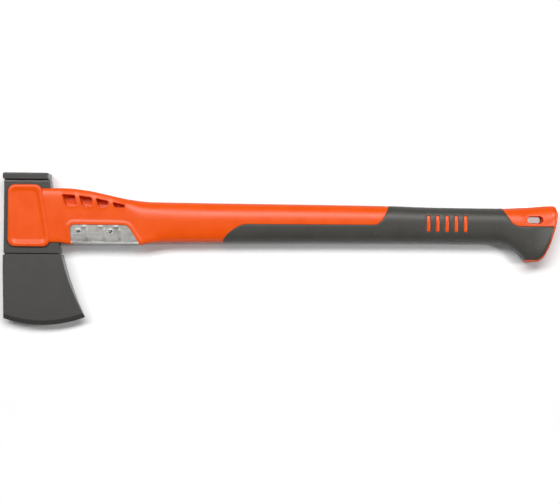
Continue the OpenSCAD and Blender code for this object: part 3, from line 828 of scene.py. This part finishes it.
# steel head
head = {
    "pollWidth": 49.2, "pollHeight": 8.7, "pollThick": 23.5, "pollRound": 1.6, "pollCorner": 1.4,
    "waistInset": 1, "waistThick": 18, "sideOut": 1.2, "waistWidth": 62.5, "waistCorner": 1.2,
    "shoulderY": -36.9, "shoulderWidth": 63.8, "bitThick": 20.4, "cheekPower": 2.3,
    "edgeY": -112.6, "edgeRadius": 130, "edgeLow": 41.7, "edgeWidth": 88.9, "edgeThick": 0.5,
    "bevelWidth": 5, "bevelThick": 6, "heelRadius": 300, "frontCorner": 3.2, "heelCorner": 0.9, "columns": 44,
    # heights and insets under the poll's rim, in the groove there and in the groove above the bit
    "rimRows": ((2.7, 0), (2.4, 0), (2.05, 0.08), (1.8, 0.35)),
    "rimGroove": ((1.75, 1.3), (0.3, 1.3), (0.15, 0.1), (-0.1, 0.0)),
    "bitGroove": ((2.5, 0), (2.3, 0.15), (2.05, 2.4), (0.8, 2.4), (0.5, 2.0)),
    # the bit's top edge: distance down, inset of its cheeks and of its ends
    "bitRise": 0.45,
    "bitRows": ((0.0, 0.08, 0.07), (0.05, 0.02, 0.02), (0.13, 0.0, 0.0), (1.1, 0.0, 0.0)),
    "bevelRows": (0.06, 0.3, 0.6, 0.85, 0.96, 1.0),
}
edgeCentre = np.array([front + head["edgeLow"], head["edgeY"] + head["edgeRadius"]])
bevelRadius = head["edgeRadius"] - head["bevelWidth"]


def cheekHalf(x, y):
    r = np.hypot(x - edgeCentre[0], y - edgeCentre[1])
    start = edgeCentre[1] - head["shoulderY"]
    share = ramp(r, start, bevelRadius - start) ** head["cheekPower"]
    flank = head["bitThick"] / 2 - (head["bitThick"] - head["bevelThick"]) / 2 * share
    ground = ramp(r, bevelRadius, head["bevelWidth"])
    return flank - (head["bevelThick"] - head["edgeThick"]) / 2 * ground


def heelX(y):
    top = np.array([front + head["shoulderWidth"], head["shoulderY"]])
    tipX = front + head["edgeWidth"]
    tipY = edgeCentre[1] - math.sqrt(head["edgeRadius"] ** 2 - (tipX - edgeCentre[0]) ** 2)
    way = np.array([tipX, tipY]) - top
    length = np.linalg.norm(way)
    bow = math.sqrt(head["heelRadius"] ** 2 - length ** 2 / 4)
    centre = top + way / 2 + np.array([-way[1], way[0]]) / length * bow
    return centre[0] - np.sqrt(head["heelRadius"] ** 2 - (y - centre[1]) ** 2)


def headRow(left, right, lineY, halfAt, leftCorner, rightCorner):  # one loop round the head
    arc = np.linspace(0, math.pi / 2, 6)
    zl, zr = halfAt(left, lineY(left)), halfAt(right, lineY(right))
    el, er = min(leftCorner, 0.6 * zl), min(rightCorner, 0.6 * zr)
    upper = [(left, 0.0), (left, 0.5 * (zl - el))]
    upper += [(left + el * (1 - math.cos(a)), zl - el + el * math.sin(a)) for a in arc]
    for s in np.linspace(0, 1, head["columns"])[1:-1]:
        x = left + el + (right - er - left - el) * s
        upper.append((x, halfAt(x, lineY(x))))
    upper += [(right - er * (1 - math.cos(a)), zr - er + er * math.sin(a)) for a in arc[::-1]]
    upper += [(right, 0.5 * (zr - er)), (right, 0.0)]
    loop = [(x, lineY(x), z) for x, z in upper]
    return np.array(loop + [(x, y, -z) for x, y, z in loop[-2:0:-1]], float)


def buildHead():
    h = head
    rows = []

    def level(y, left, right, half, corner):
        rows.append(headRow(left, right, lambda x: y, lambda x, at: half, corner, corner))

    # poll: hammer face, rounded rim and the step under it
    w, c, corner, half = h["pollWidth"], h["pollRound"], h["pollCorner"], h["pollThick"] / 2
    for a in np.radians((0, 22.5, 45, 67.5, 90)):
        i = c * (1 - math.sin(a))
        level(pollRise - c * (1 - math.cos(a)), front + i, front + w - i, half - i, corner)
    level(pollRise - c - 0.25, front, front + w, half, corner)
    under, shoulder = pollRise - h["pollHeight"], h["shoulderY"]
    for y, deep in h["rimRows"]:
        level(under + y, front + deep, front + w - deep, half - deep, corner)
    # waist, with a groove at both ends
    left, flat = front + h["waistInset"], h["waistThick"] / 2
    fall = (h["waistWidth"] - h["sideOut"] - w) / (under - shoulder)

    def waistRight(y):
        return front + w + h["sideOut"] + fall * (under - y)

    def waistRow(y, right, deep=0.0):
        level(y, left + 0.2 * deep, right - 0.2 * deep, flat - deep, h["waistCorner"])

    for y, deep in h["rimGroove"]:
        waistRow(under + y, waistRight(under), deep)
    for y in np.linspace(under - 1.5, shoulder + 3.4, 12):
        waistRow(y, waistRight(y))
    for y, deep in h["bitGroove"]:
        waistRow(shoulder + y, waistRight(shoulder + y), deep)

    # bit, from its top edge to the ground edge
    def edgeLine(radius):
        return lambda x: edgeCentre[1] - math.sqrt(radius ** 2 - (x - edgeCentre[0]) ** 2)

    def bitRow(lineY, drop=0.0, inset=0.0):
        x = front + h["shoulderWidth"]
        for _ in range(40):  # settles where the row meets the heel
            x = float(heelX(max(lineY(x), h["edgeY"])))
        rows.append(headRow(front + inset, x - inset, lineY, lambda px, py: float(cheekHalf(px, py)) - drop,
                            h["frontCorner"], h["heelCorner"]))

    start = shoulder + h["bitRise"]
    for s, drop, inset in h["bitRows"]:
        bitRow(lambda x, s=s: start - s, drop, inset)
    bevelLine, last = edgeLine(bevelRadius), h["bitRows"][-1][0]
    for t in list(np.linspace(0.04, 0.96, 22)) + [0.99, 1.0]:
        bitRow(lambda x, t=t: (start - last) * (1 - t) + bevelLine(x) * t)
    for r in h["bevelRows"]:
        bitRow(edgeLine(bevelRadius + h["bevelWidth"] * r))
    shell = Shell()
    shell.strip(rows, True)
    n = len(rows[0])
    m = n // 2
    for row, flip in ((rows[0], 1), (rows[-1], -1)):  # hammer face and edge, closed across their thickness
        faces = [(i, i + 1, n - i - 1, n - i)[::flip] for i in range(3, m - 3)]
        faces += [(0, 1, 2, 3, n - 3, n - 2, n - 1)[::flip], tuple(range(m - 3, m + 4))[::flip]]
        shell.add(row, faces)
    return shell.mesh(mirror=False, fill=False)


# rivets through guard and neck
rivet = {
    "radius": 1.6, "headRadius": 2.4, "headHeight": 0.8, "rim": 0.18, "seatGap": 0.02, "parts": 40,
    "dome": (0.12, 0.75, 7), "dimple": 1.0,
    # share of the dimple's radius, and height over the top of the dome
    "dimpleRows": ((1, 0.03), (0.85, -0.05), (0.6, -0.5), (0.25, -0.62), (0, -0.64)),
}


def buildRivet(spot):
    seat = handle["neckThick"] / 2 - guard["sink"]
    radius, reach, rim = rivet["radius"], rivet["headRadius"], rivet["rim"]
    foot = seat - rivet["seatGap"]
    profile = [(radius, 0.0), (radius, foot), (reach, foot), (reach, seat + rim)]
    for a in np.linspace(*rivet["dome"]) * math.pi / 2:
        profile.append((reach * math.cos(a), seat + rim + (rivet["headHeight"] - rim) * math.sin(a)))
    top = profile[-1][1]
    profile += [(share * rivet["dimple"], top + rise) for share, rise in rivet["dimpleRows"]]
    n = rivet["parts"]
    rings = [np.column_stack([circle(spot, r, n), np.full(n, z)]) for r, z in profile[:-1]]
    shell = Shell()
    shell.strip(rings, True)
    shell.add(np.vstack([rings[-1], [[spot[0], spot[1], profile[-1][1]]]]),
              [(i, (i + 1) % n, n) for i in range(n)])
    return shell.mesh()


coreMesh = buildCore()
print("core skin", len(coreMesh.faces))
tongue = eyeBar(eye["gap"], *eye["tongue"])
core = finishMesh(joined(coreMesh, [buildPanel(1), buildPanel(-1), tongue], "UNION"), "orange_core")
gripPiece = finishMesh(buildGrip(), "soft_grip")
capPiece = finishMesh(buildCap(), "orange_cap")
guardPiece = finishMesh(buildGuard(), "steel_guard")
headPiece = finishMesh(joined(buildHead(), [eyeBar(0, *eye["hole"])], "DIFFERENCE"), "steel_head", 26)
rivetPieces = [finishMesh(buildRivet(spot), name)
               for spot, name in zip(rivetSpots, ("rivet_front", "rivet_rear"))]
print("pieces built")


# shader maths: an expression on wires adds Math nodes
class Wire:
    def __init__(self, finish, socket):
        self.finish, self.socket = finish, socket

    def maths(self, operation, first, second):
        return self.finish.node("ShaderNodeMath", {"operation": operation}, {0: first, 1: second})

    def __add__(self, other):
        return self.maths("ADD", self, other)

    def __sub__(self, other):
        return self.maths("SUBTRACT", self, other)

    def __rsub__(self, other):
        return self.maths("SUBTRACT", other, self)

    def __mul__(self, other):
        return self.maths("MULTIPLY", self, other)

    __radd__ = __add__
    __rmul__ = __mul__


class Finish:  # the nodes of a material, or of the world
    def __init__(self, block, shader="Principled BSDF", place="Object"):
        block.use_nodes = True
        self.block, self.tree = block, block.node_tree
        self.shader = self.tree.nodes[shader]
        self.place = self.node("ShaderNodeTexCoord", output=place)

    def node(self, kind, settings=None, inputs=None, output=0):
        made = self.tree.nodes.new(kind)
        for key, value in (settings or {}).items():
            setattr(made, key, value)
        for key, value in (inputs or {}).items():
            self.plug(made.inputs[key], value)
        return Wire(self, made.outputs[output])

    def plug(self, socket, value):
        if isinstance(value, Wire):
            self.tree.links.new(value.socket, socket)
        elif hasattr(socket.default_value, "__len__") and len(socket.default_value) == 4 and len(value) == 3:
            socket.default_value = (*value, 1)
        else:
            socket.default_value = value

    def set(self, **inputs):
        for key, value in inputs.items():
            self.plug(self.shader.inputs[key.replace("_", " ")], value)

    def vector(self, operation, *values, output=0):
        return self.node("ShaderNodeVectorMath", {"operation": operation}, dict(enumerate(values)), output)

    def axis(self, i):
        return self.node("ShaderNodeSeparateXYZ", {}, {0: self.place}, i)

    def noise(self, scale, detail=2.0, rough=0.5, stretch=None):
        place = self.vector("MULTIPLY", self.place, stretch) if stretch else self.place
        return self.node("ShaderNodeTexNoise", {},
                         {"Vector": place, "Scale": scale, "Detail": detail, "Roughness": rough})

    def spread(self, value, low, high, to=(0.0, 1.0), way="SMOOTHSTEP"):
        ends = {"From Min": low, "From Max": high, "To Min": to[0], "To Max": to[1]}
        return self.node("ShaderNodeMapRange", {"interpolation_type": way}, {"Value": value, **ends})

    def about(self, value, middle, less, more, low=0.3, high=0.7):  # a little below to a little above
        return self.spread(value, low, high, (middle - less, middle + more))

    def blend(self, factor, first, second):
        return self.node("ShaderNodeMix", {"data_type": "RGBA"}, {0: factor, 6: first, 7: second}, 2)

    def bump(self, height, distance, strength):
        return self.node("ShaderNodeBump", {}, {"Height": height, "Distance": distance, "Strength": strength})

    def edges(self, low, high):  # a mask along sharp outer edges, for wear and for painted highlights
        return self.spread(self.node("ShaderNodeNewGeometry", output="Pointiness"), low, high)


def linear(red, green, blue):  # colour as it looks on a screen, 0 to 255, to shader values
    shares = (c / 255 for c in (red, green, blue))
    return tuple(((c + 0.055) / 1.055) ** 2.4 if c > 0.04 else c / 12.92 for c in shares)


falling = (1.0, 0.0)  # from full to none
nylon = {
    "colour": linear(237, 86, 12), "light": linear(242, 93, 20), "deep": linear(234, 82, 9),
    "shade": linear(222, 78, 2), "rough": 0.31, "shine": 0.34, "grain": 0.00002,
    # the band of the pockets' painted shade: its fall along the neck, then lower and upper end and depth in
    # metres
    "bandFall": 0.139, "bandLow": (0.012, 0.013), "bandHigh": (0.031, 0.032), "bandDepth": (0.007, 0.011),
}


def nylonFinish():
    f = Finish(bpy.data.materials.new("orange_nylon"))
    cloud = f.noise(60, 3)
    fine = f.noise(1900, 2, 0.6)
    base = f.blend(f.spread(cloud, 0.35, 0.65), nylon["deep"], nylon["colour"])
    # painted highlight: the orange is lighter along sharp outer edges
    base = f.blend(f.edges(0.53, 0.63) * 0.55, base, nylon["light"])
    # painted shade: the pockets of the neck are a little darker inside
    x, y, z = (f.axis(i) for i in range(3))
    first, last = (pocket["start"] - 1) * mm, (pocket["start"] + pocket["pitch"] * pocket["count"]) * mm
    rise = y + (x - first) * nylon["bandFall"] - axisY * mm
    inside = f.spread(x, first - mm, first) * f.spread(x, last, last + mm, falling)
    inside = inside * f.spread(rise, *nylon["bandLow"]) * f.spread(rise, *nylon["bandHigh"], falling)
    deep = f.spread(z.maths("ABSOLUTE", z - midZ * mm, 0.0), *nylon["bandDepth"], falling)
    base = f.blend(inside * deep, base, nylon["shade"])
    f.set(Base_Color=base, Roughness=f.about(fine * 0.6 + cloud * 0.4, nylon["rough"], 0.05, 0.07),
          Normal=f.bump(fine, nylon["grain"], 0.6), Specular_IOR_Level=nylon["shine"])
    return f.block


rubber = {"colour": linear(65, 64, 60), "light": linear(70, 69, 65), "dust": linear(104, 103, 98),
          "rough": 0.36, "shine": 0.33, "grain": 0.00005}


def rubberFinish():
    f = Finish(bpy.data.materials.new("soft_grip"))
    cloud = f.noise(45, 3)
    grain = f.noise(1500, 2, 0.6)
    dust = f.noise(260, 4, 0.65)
    base = f.blend(f.spread(cloud, 0.3, 0.7), rubber["colour"], rubber["light"])
    base = f.blend(f.spread(dust, 0.56, 0.75) * 0.25, base, rubber["dust"])
    f.set(Base_Color=base, Roughness=f.about(grain, rubber["rough"], 0.06, 0.1),
          Normal=f.bump(grain, rubber["grain"], 0.7), Specular_IOR_Level=rubber["shine"])
    return f.block


coated = {"colour": linear(81, 80, 78), "light": linear(83, 82, 80), "worn": linear(150, 149, 146),
          "ground": linear(62, 61, 59), "rough": 0.17, "shine": 0.22, "grain": 0.00004}


def coatedFinish():
    f = Finish(bpy.data.materials.new("coated_steel"))
    cloud = f.noise(70, 3)
    peel = f.noise(900, 2, 0.5)
    speck = f.noise(420, 5, 0.7)
    streak = f.noise(160, 3, 0.6, (0.25, 3.0, 1.0))
    base = f.blend(f.spread(cloud, 0.3, 0.7), coated["colour"], coated["light"])
    worn = f.edges(0.54, 0.66) * f.spread(speck, 0.42, 0.62)
    # painted shade: the bevel along the edge is darker
    across = f.vector("MULTIPLY", f.place, (1, 1, 0))
    centre = (edgeCentre[0] * mm, (edgeCentre[1] + axisY) * mm, 0)
    reach = f.vector("DISTANCE", across, centre, output=1)
    ground = f.spread(reach + (streak - 0.5) * 0.0006, (bevelRadius - 0.3) * mm, (bevelRadius + 0.5) * mm)
    base = f.blend(ground * 0.85, base, coated["ground"])
    base = f.blend(worn * 0.6, base, coated["worn"])
    rough = f.about(streak * 0.3 + peel * 0.7, coated["rough"], 0.02, 0.03)
    f.set(Base_Color=base, Roughness=rough - worn * 0.1, Metallic=worn * 0.8,
          Normal=f.bump(peel * 0.7 + speck * 0.3, coated["grain"], 0.15), Specular_IOR_Level=coated["shine"])
    return f.block


sheet = {"colour": linear(168, 167, 163), "light": linear(187, 186, 183), "deep": linear(153, 152, 148),
         "edge": linear(244, 243, 240), "hemHighlight": linear(192, 191, 188), "rough": 0.5, "grain": 0.00006}


def sheetFinish():
    f = Finish(bpy.data.materials.new("guard_steel"))
    mottle = f.noise(190, 3, 0.55)
    brushed = f.noise(500, 3, 0.6, (0.08, 1.6, 1.6))
    pits = f.noise(1200, 3, 0.6)
    base = f.blend(f.spread(mottle, 0.38, 0.62), sheet["deep"], sheet["colour"])
    base = f.blend(f.spread(brushed, 0.5, 0.72) * 0.6, base, sheet["light"])
    # painted highlights: paler along the hem, and where it is bent out
    foot = (axisY + guard["foldY"]) * mm
    base = f.blend(f.spread(f.axis(1), foot - 0.9 * mm, foot - 0.3 * mm, falling), base, sheet["hemHighlight"])
    # painted highlight: near white on sharp bends such as the tabs
    base = f.blend(f.edges(0.51, 0.55), base, sheet["edge"])
    f.set(Base_Color=base, Metallic=1.0,
          Roughness=f.about(mottle * 0.6 + brushed * 0.4, sheet["rough"], 0.08, 0.12, 0.35, 0.65),
          Normal=f.bump(mottle * 0.6 + pits * 0.1 + brushed * 0.15, sheet["grain"], 0.5))
    return f.block


bright = {"colour": linear(158, 157, 153), "deep": linear(116, 115, 112), "rough": 0.3, "grain": 0.00003}


def brightFinish():
    f = Finish(bpy.data.materials.new("rivet_steel"))
    scuff = f.noise(900, 3, 0.6)
    base = f.blend(f.spread(scuff, 0.4, 0.65), bright["deep"], bright["colour"])
    f.set(Base_Color=base, Metallic=1.0, Roughness=f.about(scuff, bright["rough"], 0.06, 0.1),
          Normal=f.bump(scuff, bright["grain"], 0.5))
    return f.block


orange, rivetSteel = nylonFinish(), brightFinish()
dressing = [
    (core, "handle_core", "orange_nylon", orange),
    (gripPiece, "grip_sleeve", "soft_grip", rubberFinish()),
    (headPiece, "axe_head", "coated_steel", coatedFinish()),
    (guardPiece, "overstrike_guard", "guard_steel", sheetFinish()),
    (capPiece, "butt_cap", "orange_nylon", orange),
]
dressing += [(piece, name, "rivet_steel", rivetSteel) for piece, name in zip(rivetPieces, rivetNodes)]
for piece, name, slot, material in dressing:
    piece.data.materials.append(material)
    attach(piece, "root")
    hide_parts(name)
print("pieces dressed")

# floor, light and camera, in metres
studio = {
    "floorSize": 60.0, "floorColour": 0.98, "floorBounce": 0.2, "floorGlow": 0.045,
    # far from the object the floor glows instead of taking light
    "floorNear": 0.16, "floorFar": 0.36, "floorStretch": (0.3, 1.6, 0.0),
    # painted light: a glowing patch of floor under the slot, seen through it
    "slotGlow": 0.42, "slotReach": 0.02,
    # the backdrop is paler near the floor than overhead
    "worldLow": 0.4, "worldHigh": 0.04, "worldTop": 0.3,
    # place, size and power of each lamp, and where along the axe it points
    "lamps": {
        "key": ((-0.3, 0.79, 1.505), (2.2, 0.5), 34, -0.15),
        "fill": ((0.0, -1.66, 0.36), (2.2, 0.5), 6, 0),
        "right": ((1.15, 0.15, 1.49), (0.24, 0.36), 8, 0),
    },
}
camera = {"distance": 1454, "across": 609.1, "aimX": 0.19, "aimY": -0.59, "turn": 0.6}  # mm and degrees


def buildFloor(s):
    bm = bmesh.new()
    bmesh.ops.create_grid(bm, x_segments=1, y_segments=1, size=s["floorSize"] / 2)
    floor = meshObject(bm, "floor")
    f = Finish(bpy.data.materials.new("floor_white"))
    paper = f.noise(30, 2)
    seen = direct = f.node("ShaderNodeLightPath", output="Is Camera Ray")
    for ray in ("Is Glossy Ray", "Is Transmission Ray"):
        seen = seen.maths("MAXIMUM", seen, f.node("ShaderNodeLightPath", output=ray))
    pale, black, full = (s["floorColour"],) * 3, (0.0,) * 3, (1.0,) * 3
    white = f.blend(f.spread(paper, 0.3, 0.7), pale, (s["floorColour"] + 0.01,) * 3)
    reach = f.vector("LENGTH", f.vector("MULTIPLY", f.place, s["floorStretch"]), output=1)
    far = f.spread(reach, s["floorNear"], s["floorFar"])
    white = f.blend(far, white, black)
    # painted light: for camera rays the floor glows under the slot
    slot = (slotSpot[0] * mm, (axisY + slotSpot[1]) * mm, 0)
    away = f.vector("DISTANCE", f.place, slot, output=1)
    under = f.spread(away, 0.8 * s["slotReach"], s["slotReach"], (s["slotGlow"], 0.0))
    glow = seen * (far * (1 - s["floorGlow"]) + s["floorGlow"]) + direct * under
    f.set(Base_Color=f.blend(seen, (s["floorBounce"],) * 3, white), Roughness=0.9, Specular_IOR_Level=0.0,
          Emission_Color=f.blend(glow, black, full), Emission_Strength=1.0)
    floor.data.materials.append(f.block)


def buildLamp(name, at, size, power, aimX):
    lamp = bpy.data.lights.new(name, "AREA")
    lamp.shape, lamp.size, lamp.size_y, lamp.energy = "RECTANGLE", size[0], size[1], power
    thing = linked(name, lamp)
    thing.location = at
    thing.rotation_euler = (Vector((aimX, 0, 0)) - Vector(at)).to_track_quat("-Z", "Y").to_euler()


def buildWorld(s):
    f = Finish(bpy.data.worlds.new("studio"), "Background", "Generated")
    grade = f.spread(f.axis(2), 0.0, s["worldTop"], (s["worldLow"], s["worldHigh"]), "LINEAR")
    f.set(Color=(1, 1, 1), Strength=grade)
    scene.world = f.block


def buildCamera(c):
    lens = bpy.data.cameras.new("camera")
    lens.sensor_fit, lens.sensor_width = "HORIZONTAL", 36
    lens.lens = lens.sensor_width * c["distance"] / c["across"]
    thing = linked("camera", lens)
    thing.location = (c["aimX"] * mm, c["aimY"] * mm, (midZ + c["distance"]) * mm)
    thing.rotation_euler = (0, 0, math.radians(c["turn"]))
    scene.camera = thing


buildFloor(studio)
buildWorld(studio)
for name, lamp in studio["lamps"].items():
    buildLamp(name, *lamp)
buildCamera(camera)
print("studio set")
